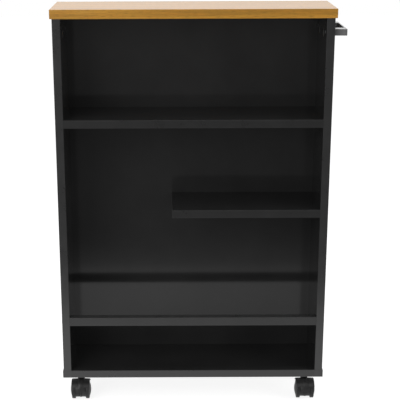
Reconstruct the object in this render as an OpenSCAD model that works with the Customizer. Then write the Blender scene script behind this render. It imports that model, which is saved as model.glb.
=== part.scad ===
// Storage trolley: a slim open cabinet of faced boards on four twin-wheel casters,
// with a wood-look worktop, two shelves, a front rail and a handle on its right side.
// Millimetres, +Z up, the open front faces -Y.
// The origin lies on the floor, in the middle of the overall box of worktop and handle.

/* [Cabinet] */
// Width over the two side panels
body_w = 546; // [420:1:800]
// Depth of the side panels, with their front edge band
body_d = 148; // [146:1:200]
// Height from the floor to the face of the worktop
overall_h = 828; // [740:1:1000]
// Thickness of the side, bottom and shelf boards and of the front rail
board_t = 16; // [15:0.5:19]
// Thickness of the back panel
back_t = 12; // [11:0.5:18]
// Thickness of the edge bands
band_t = 1; // [0.5:0.1:2]
// Radius on the outer corners of the edge bands
band_r = 0.5; // [0.2:0.1:0.5]

/* [Worktop] */
// Thickness of the worktop
top_t = 18; // [15:0.5:30]
// Overhang of the worktop past each side panel
top_over_side = 4; // [2:0.5:20]
// Overhang of the worktop past the front and the back
top_over_end = 2; // [1:0.5:10]

/* [Shelves] */
// Height of the upper shelf's face above the floor
upper_shelf_z = 611; // [540:1:680]
// Height of the half shelf's face above the floor
half_shelf_z = 425; // [330:1:490]
// Length of the half shelf, measured from the right side panel
half_shelf_l = 300; // [200:1:340]
// Height of the front rail's upper edge above the floor
front_rail_z = 192; // [150:1:260]
// Height of the front rail's face, which holds goods back and stiffens the cabinet
front_rail_h = 18; // [14:0.5:40]

/* [Handle] */
// Drop of the handle's upper edge below the worktop
handle_drop = 22.5; // [18:0.5:45]
// Height of the handle's posts and bar
handle_h = 13; // [11:0.5:20]
// Distance of the bar's ends from the front and back edges
handle_inset = 12; // [8:1:22]
// Width of each post along the bar
post_w = 22; // [12:0.5:30]
// Length of each post, out from the side panel
post_l = 22.5; // [22:0.5:40]
// Thickness of the bar
bar_t = 3; // [2.5:0.5:6]
// Corner radius of the posts and the bar
handle_r = 1.5; // [0.5:0.5:3]

/* [Panel screws] */
// Length of the screws that join the boards
screw_l = 48; // [40:1:60]
// Diameter of the screw head
screw_head_d = 9.5; // [8:0.5:10]
// Height of the screw head
screw_head_h = 2.5; // [2:0.1:3.5]
// Diameter of the smooth neck, which passes through the first board
screw_neck_d = 7; // [6:0.1:7.5]
// Diameter of the threaded part, which bites in the second board
screw_core_d = 5; // [4:0.1:5.5]
// Distance of the shelf and base screws from the front edge and from the back panel
screw_inset = 35; // [26:1:44]
// Distance of the back panel's screws from its ends
back_screw_inset = 60; // [40:1:90]
// Distance between the two screws that join the back panel to the upper shelf
back_screw_gap = 300; // [200:1:320]
// Distance of the half shelf's back screws from its two ends
half_screw_inset = 70; // [62:1:90]
// Diameter of the flat caps over the screw heads
cap_d = 11.5; // [10.5:0.5:12]
// Thickness of the flat caps
cap_t = 0.5; // [0.3:0.1:1.2]

/* [Worktop fittings] */
// Distance of the cam locks from the front and back edges
cam_inset = 46; // [40:1:54]
// Distance of a cam lock's centre below the top of the side panel
cam_drop = 34; // [26:1:40]
// Diameter of a cam lock
cam_d = 15; // [12:0.5:16]
// Depth of a cam lock in the side panel
cam_l = 12.5; // [12.2:0.1:13.5]
// Diameter of a cam bolt's shaft
cam_bolt_d = 7; // [6:0.1:7.4]
// Diameter of a cam bolt's neck, between its shaft and its head
cam_neck_d = 4; // [3:0.1:5]
// Diameter of a cam bolt's head
cam_head_d = 6.5; // [5.5:0.1:6.8]
// Height of a cam bolt's head
cam_head_h = 2.5; // [1.5:0.1:4]
// Diameter of a cam bolt's thread in the worktop
cam_thread_d = 6; // [4:0.1:6.4]
// Length of a cam bolt's thread in the worktop
cam_thread_l = 11; // [8:0.5:12]
// Width of the driver slot in a cam lock
cam_slot_w = 1.2; // [0.8:0.1:2]
// Length of the driver slot in a cam lock
cam_slot_l = 9; // [5:0.5:11]
// Depth of the driver slot in a cam lock
cam_slot_h = 1.5; // [0.8:0.1:2]
// Diameter of the dowels
dowel_d = 6; // [5:0.5:8]
// Length of the dowels
dowel_l = 25; // [16:1:28]
// Depth of a dowel in the worktop
dowel_up = 10; // [6:0.5:12]
// Distance of the side dowels from the front and back edges
dowel_inset = 24; // [18:1:30]

/* [Handle screws] */
// Shank diameter of the screws through the side panel
post_screw_d = 4; // [3:0.1:5]
// Head diameter of the screws through the side panel
post_screw_head_d = 8; // [7:0.1:9]
// Length of those screws inside a post
post_screw_in = 12; // [8:0.5:12.5]
// Shank diameter of the screws through the bar
bar_screw_d = 3; // [2.5:0.1:4]
// Head diameter of the screws through the bar
bar_screw_head_d = 6; // [5:0.1:7]
// Length of those screws inside a post
bar_screw_in = 7; // [5:0.5:8]
// Height of the heads of both kinds of handle screw
handle_screw_head_h = 1.8; // [1.2:0.1:2.2]

/* [Casters] */
// Height of a caster from the floor to the bottom board
caster_h = 56; // [54:1:75]
// Distance of a caster's swivel axis from the side panel's outer face
caster_inset_x = 33.5; // [28:0.5:60]
// Distance of a caster's swivel axis from the front or back
caster_inset_y = 34.5; // [32:0.5:34.5]
// Distance of the wheels' axis from the swivel axis
trail = 14; // [13:0.5:14.5]
// Diameter of the wheels
wheel_d = 40; // [39:0.5:40.5]
// Width over both treads
wheels_w = 38; // [34:0.5:39.5]
// Width of one tread
tread_w = 8; // [6:0.5:9]
// Radius on the tread's shoulders
tread_r = 1.2; // [0.6:0.1:2]
// Rise of the domed hub past the tread
hub_rise = 2.2; // [1:0.1:3.5]
// Diameter of the domed hub
hub_d = 33; // [26:0.5:35]
// Depth of the groove between the hub and the tread
hub_groove = 0.8; // [0.4:0.1:1.5]
// Diameter of the wheel's inner drum, under the hood
drum_d = 33; // [30:0.5:33.5]
// Diameter of the axle
axle_d = 5; // [4:0.1:6]
// Depth of the axle's end below the hub's crown
axle_cover = 3.5; // [2.5:0.1:5]

/* [Caster hood] */
// Thickness of the web between the wheels
web_t = 4; // [3:0.1:5]
// Diameter of the web
web_d = 34; // [30:0.5:35]
// Radius of the hood's edges, from the wheels' axis
hood_r = 20.3; // [19.8:0.1:20.8]
// Extra radius of the hood along its middle
hood_crown = 1.1; // [0.4:0.1:1.6]
// Thickness of the hood's shell
hood_t = 2.6; // [1.8:0.1:2.8]
// Height of the hood's front lip above the wheels' axis
hood_lip = 1.5; // [0:0.5:8]
// Diameter of the hood's neck, around the kingpin
neck_d = 15; // [13:0.5:16]
// Height of the neck's round foot above the wheels' axis
neck_foot = 6; // [3:0.5:8]
// Radius of the blend between the neck and the shell
saddle_r = 6; // [4:0.5:7]
// Width of the blend between the neck and the shell
saddle_w = 10; // [6:0.5:12]
// Width of the raised V on the front of the shell
spine_w = 12; // [6:0.5:14]
// Length of the raised V, down from the crown
spine_l = 17; // [10:0.5:20]
// Rise of the V above the crown
spine_rise = 0.6; // [0.3:0.1:1]
// Diameter of the hood's collar, under the raceway
collar_d = 23; // [19:0.5:26]
// Height of the collar
collar_h = 3; // [2:0.1:4]

/* [Caster plate] */
// Side of the square mounting plate
plate_w = 38; // [36:0.5:44]
// Thickness of the plate
plate_t = 2; // [1.5:0.1:2.5]
// Corner radius of the plate
plate_r = 4; // [1:0.5:6]
// Distance between the plate's screws
plate_pitch = 28; // [27.5:0.5:30]
// Diameter of the raceway pressed down from the plate
race_d = 26; // [24:0.5:28]
// Depth of the raceway below the plate
race_h = 5; // [4:0.1:6]
// Diameter of the kingpin
kingpin_d = 8; // [6:0.1:9]
// Length of the kingpin inside the hood
kingpin_in = 13; // [10:0.5:13.5]
// Diameter of the kingpin's head, inside the raceway
kingpin_head_d = 14; // [11:0.5:16]
// Height of the kingpin's head
kingpin_head_h = 2.4; // [1.4:0.1:2.8]
// Length of the taper at the kingpin's tip
kingpin_tip = 1; // [0.5:0.1:2]
// Narrowing of the raceway towards its bottom, on the radius
race_taper = 2; // [1:0.1:2.5]
// Shank diameter of the caster screws
caster_screw_d = 4; // [3:0.1:4.5]
// Head diameter of the caster screws
caster_screw_head_d = 7.5; // [6:0.1:8.5]
// Head height of the caster screws
caster_screw_head_h = 2; // [1.4:0.1:2.6]
// Length of the caster screws in the bottom board
caster_screw_in = 12; // [8:0.5:13]

/* [Fits] */
// Radial gap around screws, dowels and locks in their holes
hole_gap = 0.1; // [0.05:0.05:0.25]
// Radial running gap of the wheels and swivels on their pins
run_gap = 0.06; // [0.02:0.01:0.1]
// Gap between faces that turn past each other
side_gap = 0.5; // [0.3:0.1:0.8]
// Gap between the raceway and the hood's collar
race_gap = 0.3; // [0.2:0.1:0.5]

/* [Hidden] */
$fn = 64;

// How far a cutting shape runs past the face that it cuts
past = 1;

// Cabinet levels and faces
bottom_z = caster_h + board_t;
under_top_z = overall_h - top_t;
side_h = under_top_z - bottom_z;
side_x = body_w / 2;
inner_x = side_x - board_t;
mid_x = side_x - board_t / 2;
front_y = -body_d / 2;
back_y = body_d / 2;
back_face_y = back_y - back_t;
back_mid_y = back_y - back_t / 2;
half_shelf_x = inner_x - half_shelf_l;
handle_x = side_x + post_l + bar_t;
// The cabinet's middle is off the origin, because the handle stands out on one side
body_x = (side_x + top_over_side - handle_x) / 2;

// Screw places
shelf_screw_ys = [front_y + screw_inset, back_face_y - screw_inset];
upper_mid_z = upper_shelf_z - board_t / 2;
half_mid_z = half_shelf_z - board_t / 2;
back_screw_zs = [
    bottom_z + back_screw_inset,
    (bottom_z + under_top_z) / 2,
    under_top_z - back_screw_inset
];
back_screw_xs = [-back_screw_gap / 2, back_screw_gap / 2];
half_screw_xs = [half_shelf_x + half_screw_inset, inner_x - half_screw_inset];
cam_z = under_top_z - cam_drop;
front_rail_spot = [front_y + board_t / 2, front_rail_z - front_rail_h / 2];
handle_mid_z = under_top_z - handle_drop - handle_h / 2;
handle_l = body_d - 2 * handle_inset;
post_y = handle_l / 2 - post_w / 2;

// Caster levels and radii, above the floor and from the wheels' axis
wheel_r = wheel_d / 2;
tread_out = wheels_w / 2;
tread_in = tread_out - tread_w;
web_half = web_t / 2;
hood_half = tread_in - side_gap;
hood_in_r = hood_r - hood_t;
hood_top_r = hood_r + hood_crown;
crown_r = (pow(hood_half, 2) + pow(hood_crown, 2)) / (2 * hood_crown);
dome_r = (pow(hub_d / 2, 2) + pow(hub_rise, 2)) / (2 * hub_rise);
plate_z = caster_h - plate_t;
race_z = plate_z - race_h;
collar_z = race_z - race_gap;
neck_foot_z = wheel_r + neck_foot;
kingpin_z = race_z - kingpin_in;
axle_half = tread_out + hub_rise - axle_cover;

function shelf_levels(side) = side > 0 ? [upper_mid_z, half_mid_z] : [upper_mid_z];
function side_spots(side) = concat(
    [for (y = shelf_screw_ys) for (z = shelf_levels(side)) [y, z]],
    [for (z = back_screw_zs) [back_mid_y, z]],
    [front_rail_spot]
);
function back_spots() = concat(
    [for (x = back_screw_xs) [x, upper_mid_z]],
    [for (x = half_screw_xs) [x, half_mid_z]]
);
function base_spots() = concat(
    [for (x = [-mid_x, mid_x]) for (y = shelf_screw_ys) [x, y]],
    [for (x = back_screw_xs) [x, back_mid_y]]
);

board_colour = [0.13, 0.13, 0.14];
band_colour = [0.2, 0.2, 0.21];
wood_colour = [0.72, 0.53, 0.28];
zinc_colour = [0.72, 0.73, 0.74];
plastic_colour = [0.1, 0.1, 0.1];
handle_colour = [0.3, 0.3, 0.31];
beech_colour = [0.82, 0.68, 0.48];

// Places

module cabinet_place() {
    translate([body_x, 0, 0]) children();
}

// Along each side screw, from its head inwards
module at_side_spots(side) {
    for (spot = side_spots(side))
        translate([side * side_x, spot[0], spot[1]])
            rotate([0, -90 * side, 0]) children();
}

module at_back_spots() {
    for (spot = back_spots())
        translate([spot[0], back_y, spot[1]]) rotate([90, 0, 0]) children();
}

module at_base_spots() {
    for (spot = base_spots()) translate([spot[0], spot[1], caster_h]) children();
}

// On the top edges of the side panels, at the cam bolts
module at_cams() {
    for (side = [-1, 1]) for (end = [-1, 1])
        translate([side * mid_x, end * (body_d / 2 - cam_inset), under_top_z]) children();
}

module at_dowels() {
    for (side = [-1, 1]) for (end = [-1, 1])
        translate([side * mid_x, end * (body_d / 2 - dowel_inset), under_top_z]) children();
    for (x = back_screw_xs) translate([x, back_mid_y, under_top_z]) children();
}

// On the inner face of the right side panel, pointing out through it
module at_posts() {
    for (end = [-1, 1])
        translate([inner_x, end * post_y, handle_mid_z]) rotate([0, 90, 0]) children();
}

// On the outer face of the bar, pointing in
module at_bar_screws() {
    for (end = [-1, 1])
        translate([handle_x, end * post_y, handle_mid_z]) rotate([0, -90, 0]) children();
}

// On the floor below a swivel axis: side is -1 for left, end is -1 for front.
// The rear casters are mirrored, so that their wheels trail to the back.
module caster_place(side, end) {
    translate([
        body_x + side * (side_x - caster_inset_x),
        end * (body_d / 2 - caster_inset_y),
        0
    ]) mirror([0, end > 0 ? 1 : 0, 0]) children();
}

module at_plate_screws() {
    for (x = [-1, 1]) for (y = [-1, 1])
        translate([x * plate_pitch / 2, y * plate_pitch / 2, plate_z]) children();
}

// On the wheels' axis, which is turned to run along X
module on_axle() {
    translate([0, -trail, wheel_r]) rotate([0, 90, 0]) children();
}

// Shapes that repeat

module board(x_low, x_high, y_low, y_high, z_low, z_high) {
    translate([x_low, y_low, z_low])
        cube([x_high - x_low, y_high - y_low, z_high - z_low]);
}

module rounded_square(w, h, r) {
    square([w - 2 * r, h], center = true);
    square([w, h - 2 * r], center = true);
    for (x = [-1, 1]) for (y = [-1, 1])
        translate([x * (w / 2 - r), y * (h / 2 - r)]) circle(r);
}

// A strip along +X on the front of a board, its outer corners rounded
module edge_band(l, w) {
    translate([l, 0, 0]) rotate([0, -90, 0]) linear_extrude(l) {
        translate([0, band_r - band_t]) square([w, band_t - band_r]);
        translate([band_r, -band_t]) square([w - 2 * band_r, band_t]);
        for (x = [band_r, w - band_r]) translate([x, band_r - band_t]) circle(band_r);
    }
}

// A board screw from its head along +Z: the head and neck in the first board
module panel_screw(neck_l, gap, lead) {
    translate([0, 0, -lead]) cylinder(d = screw_head_d + 2 * gap, h = screw_head_h + lead);
    cylinder(d = screw_neck_d + 2 * gap, h = neck_l);
    cylinder(d = screw_core_d + 2 * gap, h = screw_l + gap);
}

module panel_screw_hole() {
    panel_screw(board_t, hole_gap, past);
}

module back_screw_hole() {
    panel_screw(back_t, hole_gap, past);
}

module cam_thread(gap) {
    cylinder(d = cam_thread_d + 2 * gap, h = cam_thread_l + gap);
}

// The way for a cam bolt in a side panel, from its top edge to the cam lock
module cam_bolt_bore() {
    translate([0, 0, -cam_drop])
        cylinder(d = cam_bolt_d + 2 * hole_gap, h = cam_drop + past);
}

// A cam lock's body, from the inner face of its panel, below the cam bolt
module cam_body(gap, lead) {
    for (side = [-1, 1]) for (end = [-1, 1])
        translate([side * (inner_x - lead), end * (body_d / 2 - cam_inset), cam_z])
            rotate([0, 90 * side, 0]) cylinder(d = cam_d + 2 * gap, h = cam_l + lead + gap);
}

module dowel(gap) {
    translate([0, 0, dowel_up - dowel_l - gap])
        cylinder(d = dowel_d + 2 * gap, h = dowel_l + 2 * gap);
}

module post_screw(gap, lead) {
    translate([0, 0, -lead])
        cylinder(d = post_screw_head_d + 2 * gap, h = handle_screw_head_h + lead);
    cylinder(d = post_screw_d + 2 * gap, h = board_t + post_screw_in + gap);
}

module bar_screw(gap, lead) {
    translate([0, 0, -lead])
        cylinder(d = bar_screw_head_d + 2 * gap, h = handle_screw_head_h + lead);
    cylinder(d = bar_screw_d + 2 * gap, h = bar_t + bar_screw_in + gap);
}

module caster_screw(gap) {
    cylinder(d = caster_screw_d + 2 * gap, h = plate_t + caster_screw_in + gap);
}

// Boards

module top_board() {
    color(wood_colour) cabinet_place() difference() {
        board(
            -side_x - top_over_side + band_t, side_x + top_over_side - band_t,
            front_y - top_over_end + band_t, back_y + top_over_end - band_t,
            under_top_z, overall_h
        );
        at_cams() cam_thread(hole_gap);
        at_dowels() dowel(hole_gap);
    }
}

module worktop_edge_bands() {
    long = body_w + 2 * top_over_side;
    short = body_d + 2 * top_over_end - 2 * band_t;
    color(wood_colour) cabinet_place() for (turn = [0, 180]) rotate([0, 0, turn]) {
        translate([-long / 2, -short / 2, under_top_z]) edge_band(long, top_t);
        translate([long / 2 - band_t, -short / 2, under_top_z])
            rotate([0, 0, 90]) edge_band(short, top_t);
    }
}

module side_panel(side) {
    x_low = side > 0 ? inner_x : -side_x;
    difference() {
        board(x_low, x_low + board_t, front_y + band_t, back_y, bottom_z, under_top_z);
        at_side_spots(side) panel_screw_hole();
        at_base_spots() panel_screw_hole();
        at_cams() cam_bolt_bore();
        at_dowels() dowel(hole_gap);
        cam_body(hole_gap, past);
        if (side > 0) at_posts() post_screw(hole_gap, past);
    }
}

module left_side_panel() {
    color(board_colour) cabinet_place() side_panel(-1);
}

module right_side_panel() {
    color(board_colour) cabinet_place() side_panel(1);
}

module back_panel() {
    color(board_colour) cabinet_place() difference() {
        board(-inner_x, inner_x, back_face_y, back_y, bottom_z, under_top_z);
        for (side = [-1, 1]) at_side_spots(side) panel_screw_hole();
        at_back_spots() back_screw_hole();
        at_base_spots() panel_screw_hole();
        at_dowels() dowel(hole_gap);
    }
}

module bottom_board() {
    color(board_colour) cabinet_place() difference() {
        board(
            -side_x + band_t, side_x - band_t,
            front_y + band_t, back_y, caster_h, bottom_z
        );
        at_base_spots() panel_screw_hole();
        translate([-body_x, 0, 0]) for (side = [-1, 1]) for (end = [-1, 1])
            caster_place(side, end) at_plate_screws() caster_screw(hole_gap);
    }
}

module shelf(x_low, face_z) {
    difference() {
        board(x_low, inner_x, front_y + band_t, back_face_y, face_z - board_t, face_z);
        for (side = [-1, 1]) at_side_spots(side) panel_screw_hole();
        at_back_spots() back_screw_hole();
    }
}

module upper_shelf() {
    color(board_colour) cabinet_place() shelf(-inner_x, upper_shelf_z);
}

module half_shelf() {
    color(board_colour) cabinet_place() shelf(half_shelf_x + band_t, half_shelf_z);
}

// An upright strip between the side panels, its face flush with their front edges
module front_rail() {
    color(board_colour) cabinet_place() difference() {
        board(
            -inner_x, inner_x, front_y, front_y + board_t,
            front_rail_z - front_rail_h + band_t, front_rail_z - band_t
        );
        for (side = [-1, 1]) at_side_spots(side) panel_screw_hole();
    }
}

module cabinet_edge_bands() {
    band_y = front_y + band_t;
    color(band_colour) cabinet_place() {
        // Front edges of the side panels, turned upright
        for (x = [-side_x, inner_x]) translate([x, band_y, bottom_z])
            mirror([1, 0, 0]) rotate([0, -90, 0]) edge_band(side_h, board_t);
        translate([-inner_x, band_y, upper_shelf_z - board_t])
            edge_band(2 * inner_x, board_t);
        translate([half_shelf_x + band_t, band_y, half_shelf_z - board_t])
            edge_band(half_shelf_l - band_t, board_t);
        // Upper and lower edge of the front rail
        translate([-inner_x, front_y, front_rail_z - band_t])
            rotate([-90, 0, 0]) edge_band(2 * inner_x, board_t);
        translate([-inner_x, front_y + board_t, front_rail_z - front_rail_h + band_t])
            rotate([90, 0, 0]) edge_band(2 * inner_x, board_t);
        translate([-side_x, band_y, caster_h]) edge_band(body_w, board_t);
        // Free end of the half shelf and ends of the bottom board
        translate([half_shelf_x + band_t, back_face_y, half_shelf_z - board_t])
            rotate([0, 0, -90]) edge_band(back_face_y - front_y, board_t);
        translate([-side_x + band_t, back_y, caster_h])
            rotate([0, 0, -90]) edge_band(body_d - band_t, board_t);
        translate([side_x - band_t, band_y, caster_h])
            rotate([0, 0, 90]) edge_band(body_d - band_t, board_t);
    }
}

// Board fasteners

module side_screws() {
    color(zinc_colour) cabinet_place()
        for (side = [-1, 1]) at_side_spots(side) panel_screw(board_t, 0, 0);
}

module back_screws() {
    color(zinc_colour) cabinet_place() at_back_spots() panel_screw(back_t, 0, 0);
}

module base_screws() {
    color(zinc_colour) cabinet_place() at_base_spots() panel_screw(board_t, 0, 0);
}

module screw_caps() {
    color(board_colour) cabinet_place()
        for (side = [-1, 1]) at_side_spots(side)
            translate([0, 0, -cap_t]) cylinder(d = cap_d, h = cap_t);
}

module cam_bolts() {
    color(zinc_colour) cabinet_place() at_cams() {
        cam_thread(0);
        translate([0, 0, cam_d / 2 - cam_drop])
            cylinder(d = cam_bolt_d, h = cam_drop - cam_d / 2);
        translate([0, 0, -cam_drop]) cylinder(d = cam_neck_d, h = cam_drop);
        translate([0, 0, -cam_drop]) cylinder(d = cam_head_d, h = cam_head_h);
    }
}

module cam_locks() {
    color(zinc_colour) cabinet_place() difference() {
        cam_body(0, 0);
        // The jaw that takes the cam bolt's head, and the driver slot
        at_cams() translate([0, 0, -cam_drop - cam_head_d / 2])
            cylinder(d = cam_bolt_d + 2 * hole_gap, h = cam_drop);
        for (side = [-1, 1]) for (end = [-1, 1])
            translate([side * inner_x, end * (body_d / 2 - cam_inset), cam_z])
                cube([2 * cam_slot_h, cam_slot_w, cam_slot_l], center = true);
    }
}

module worktop_dowels() {
    color(beech_colour) cabinet_place() at_dowels() dowel(0);
}

// Handle

module handle_post(end) {
    difference() {
        translate([side_x, end * post_y, handle_mid_z]) rotate([90, 0, 90])
            linear_extrude(post_l) rounded_square(post_w, handle_h, handle_r);
        at_posts() post_screw(hole_gap, 0);
        at_bar_screws() bar_screw(hole_gap, 0);
    }
}

module handle_post_front() {
    color(handle_colour) cabinet_place() handle_post(-1);
}

module handle_post_rear() {
    color(handle_colour) cabinet_place() handle_post(1);
}

module handle_bar() {
    color(handle_colour) cabinet_place() difference() {
        translate([side_x + post_l, 0, handle_mid_z]) rotate([90, 0, 90])
            linear_extrude(bar_t) rounded_square(handle_l, handle_h, handle_r);
        at_bar_screws() bar_screw(hole_gap, past);
    }
}

module handle_post_screws() {
    color(zinc_colour) cabinet_place() at_posts() post_screw(0, 0);
}

module handle_bar_screws() {
    color(zinc_colour) cabinet_place() at_bar_screws() bar_screw(0, 0);
}

// Casters, each drawn over the origin with its wheels in front of the swivel axis

// A square plate whose middle is pressed down into a raceway cup
module caster_plate() {
    race_r = race_d / 2;
    color(zinc_colour) difference() {
        union() {
            translate([0, 0, plate_z]) linear_extrude(plate_t)
                rounded_square(plate_w, plate_w, plate_r);
            translate([0, 0, race_z])
                cylinder(r1 = race_r - race_taper, r2 = race_r, h = race_h);
        }
        translate([0, 0, race_z + plate_t])
            cylinder(r1 = race_r - race_taper - plate_t, r2 = race_r - plate_t, h = race_h);
        translate([0, 0, race_z - past])
            cylinder(d = kingpin_d + 2 * hole_gap, h = race_h);
        at_plate_screws() translate([0, 0, -past])
            cylinder(d = caster_screw_d + 2 * hole_gap, h = plate_t + 2 * past);
    }
}

// The pin is riveted in the raceway cup, and the hood turns on it
module kingpin() {
    color(zinc_colour) {
        translate([0, 0, kingpin_z + kingpin_tip])
            cylinder(d = kingpin_d, h = kingpin_in + plate_t - kingpin_tip);
        translate([0, 0, kingpin_z])
            cylinder(d1 = kingpin_d - 2 * kingpin_tip, d2 = kingpin_d, h = kingpin_tip);
        translate([0, 0, race_z + plate_t]) cylinder(d = kingpin_head_d, h = kingpin_head_h);
    }
}

// Half the section of the hood's shell, from the wheels' axis: crowned outside, round inside
module hood_section() {
    intersection() {
        translate([hood_in_r, -hood_half]) square([hood_top_r - hood_in_r, 2 * hood_half]);
        translate([hood_top_r - crown_r, 0]) circle(crown_r, $fn = 200);
    }
}

// What the wheels' drums sweep, on both sides of the web
module drum_space() {
    for (side = [-1, 1]) mirror([0, 0, side > 0 ? 0 : 1])
        translate([0, 0, web_half]) cylinder(r = hood_in_r, h = tread_in);
}

// Side view of the web that blends the neck into the shell, from the wheels' axis
module saddle_side() {
    bend = [
        trail - neck_d / 2 - saddle_r,
        sqrt(pow(hood_r + saddle_r, 2) - pow(trail - neck_d / 2 - saddle_r, 2))
    ];
    touch = bend * hood_r / (hood_r + saddle_r);
    difference() {
        polygon([[0, 0], touch, bend, [trail, bend[1]], [trail, 0]]);
        translate(bend) circle(saddle_r);
    }
}

// A raised V over the crown and down the front of the shell
module hood_spine() {
    reach = hood_top_r + spine_rise;
    intersection() {
        on_axle() translate([0, 0, -spine_w / 2]) cylinder(r = reach, h = spine_w, $fn = 120);
        translate([0, 0, wheel_r]) rotate([90, 0, 0]) linear_extrude(trail + reach)
            polygon([[-spine_w / 2, reach], [0, reach - spine_l], [spine_w / 2, reach]]);
    }
}

module hood() {
    reach = hood_top_r + past;
    color(plastic_colour) difference() {
        union() {
            // Shell over the wheels, from the front lip to the neck
            intersection() {
                on_axle() rotate_extrude($fn = 120) hood_section();
                translate([-hood_half, -trail - reach, wheel_r + hood_lip])
                    cube([2 * hood_half, trail + reach, reach]);
            }
            hood_spine();
            // Web between the wheels
            on_axle() translate([0, 0, -web_half]) cylinder(d = web_d, h = web_t);
            translate([-saddle_w / 2, -trail, wheel_r]) rotate([90, 0, 90])
                linear_extrude(saddle_w) saddle_side();
            // Neck with a round foot, and the collar on it
            translate([0, 0, neck_foot_z]) cylinder(d = neck_d, h = collar_z - neck_foot_z);
            translate([0, 0, neck_foot_z]) sphere(d = neck_d);
            translate([0, 0, collar_z - collar_h]) cylinder(d = collar_d, h = collar_h);
            translate([0, 0, collar_z - 2 * collar_h])
                cylinder(d1 = neck_d, d2 = collar_d, h = collar_h);
        }
        on_axle() drum_space();
        on_axle() translate([0, 0, -web_t])
            cylinder(d = axle_d + 2 * hole_gap, h = 2 * web_t);
        translate([0, 0, kingpin_z - side_gap])
            cylinder(d = kingpin_d + 2 * run_gap, h = kingpin_in + race_gap + past);
    }
}

module axle() {
    color(zinc_colour) on_axle() translate([0, 0, -axle_half])
        cylinder(d = axle_d, h = 2 * axle_half);
}

// Half the section of a wheel: drum, tread with rounded shoulders and domed hub
module wheel_section() {
    difference() {
        union() {
            translate([0, web_half + side_gap])
                square([drum_d / 2, tread_in - web_half - side_gap]);
            translate([0, tread_in]) square([wheel_r - tread_r, tread_w]);
            translate([0, tread_in + tread_r]) square([wheel_r, tread_w - 2 * tread_r]);
            for (level = [tread_in + tread_r, tread_out - tread_r])
                translate([wheel_r - tread_r, level]) circle(tread_r);
            intersection() {
                translate([0, tread_out]) square([hub_d / 2, hub_rise]);
                translate([0, tread_out + hub_rise - dome_r]) circle(dome_r, $fn = 200);
            }
        }
        translate([hub_d / 2, tread_out - hub_groove]) square([hub_groove, hub_groove + past]);
        translate([0, -past]) square([axle_d / 2 + run_gap, past + axle_half + side_gap]);
    }
}

module wheel(side) {
    color(plastic_colour) on_axle() mirror([0, 0, side > 0 ? 0 : 1])
        rotate_extrude($fn = 96) wheel_section();
}

module caster_screws() {
    color(zinc_colour) for (side = [-1, 1]) for (end = [-1, 1])
        caster_place(side, end) at_plate_screws() {
            caster_screw(0);
            translate([0, 0, -caster_screw_head_h])
                cylinder(d = caster_screw_head_d, h = caster_screw_head_h);
        }
}

top_board();
worktop_edge_bands();
left_side_panel();
right_side_panel();
back_panel();
bottom_board();
upper_shelf();
half_shelf();
front_rail();
cabinet_edge_bands();
side_screws();
back_screws();
base_screws();
screw_caps();
cam_bolts();
cam_locks();
worktop_dowels();
handle_post_front();
handle_post_rear();
handle_bar();
handle_post_screws();
handle_bar_screws();
caster_screws();
caster_place(-1, -1) caster_plate();  // front_left_plate
caster_place(-1, -1) kingpin();  // front_left_kingpin
caster_place(-1, -1) hood();  // front_left_hood
caster_place(-1, -1) axle();  // front_left_axle
caster_place(-1, -1) wheel(-1);  // front_left_outer_wheel
caster_place(-1, -1) wheel(1);  // front_left_inner_wheel
caster_place(1, -1) caster_plate();  // front_right_plate
caster_place(1, -1) kingpin();  // front_right_kingpin
caster_place(1, -1) hood();  // front_right_hood
caster_place(1, -1) axle();  // front_right_axle
caster_place(1, -1) wheel(1);  // front_right_outer_wheel
caster_place(1, -1) wheel(-1);  // front_right_inner_wheel
caster_place(-1, 1) caster_plate();  // rear_left_plate
caster_place(-1, 1) kingpin();  // rear_left_kingpin
caster_place(-1, 1) hood();  // rear_left_hood
caster_place(-1, 1) axle();  // rear_left_axle
caster_place(-1, 1) wheel(-1);  // rear_left_outer_wheel
caster_place(-1, 1) wheel(1);  // rear_left_inner_wheel
caster_place(1, 1) caster_plate();  // rear_right_plate
caster_place(1, 1) kingpin();  // rear_right_kingpin
caster_place(1, 1) hood();  // rear_right_hood
caster_place(1, 1) axle();  // rear_right_axle
caster_place(1, 1) wheel(1);  // rear_right_outer_wheel
caster_place(1, 1) wheel(-1);  // rear_right_inner_wheel
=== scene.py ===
import math

import bmesh
import bpy
from bpy.props import FloatProperty, FloatVectorProperty, PointerProperty
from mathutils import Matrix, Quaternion, Vector


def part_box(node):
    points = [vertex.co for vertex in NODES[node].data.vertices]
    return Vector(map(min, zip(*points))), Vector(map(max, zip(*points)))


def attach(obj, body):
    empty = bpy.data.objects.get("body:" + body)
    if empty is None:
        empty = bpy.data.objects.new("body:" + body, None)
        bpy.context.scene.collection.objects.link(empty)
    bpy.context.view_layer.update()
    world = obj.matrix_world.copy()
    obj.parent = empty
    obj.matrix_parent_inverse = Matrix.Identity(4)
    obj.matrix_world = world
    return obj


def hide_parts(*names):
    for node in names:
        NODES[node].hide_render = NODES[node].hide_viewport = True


bl_info = {
    "name": "Slim storage trolley",
    "version": (1, 0, 0),
    "blender": (4, 5, 0),
    "location": "3D View > Sidebar > Trolley",
    "description": "Dresses a slim storage trolley with its finishes, fittings and casters",
    "category": "Add Mesh",
}

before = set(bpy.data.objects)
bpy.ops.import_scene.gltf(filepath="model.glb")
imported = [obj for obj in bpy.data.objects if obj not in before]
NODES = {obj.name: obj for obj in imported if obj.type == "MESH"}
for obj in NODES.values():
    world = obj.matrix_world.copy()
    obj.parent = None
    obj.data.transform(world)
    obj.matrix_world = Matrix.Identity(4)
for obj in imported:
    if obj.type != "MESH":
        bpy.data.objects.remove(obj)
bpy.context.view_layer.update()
CORNERS = ("front_left", "front_right", "rear_left", "rear_right")
MM = 0.001

# Component of a face's normal past which the face counts as looking along that axis
SQUARE_ON = 0.7

# Half the side of the floor
FLOOR_HALF = 7.0

# Settings


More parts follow.
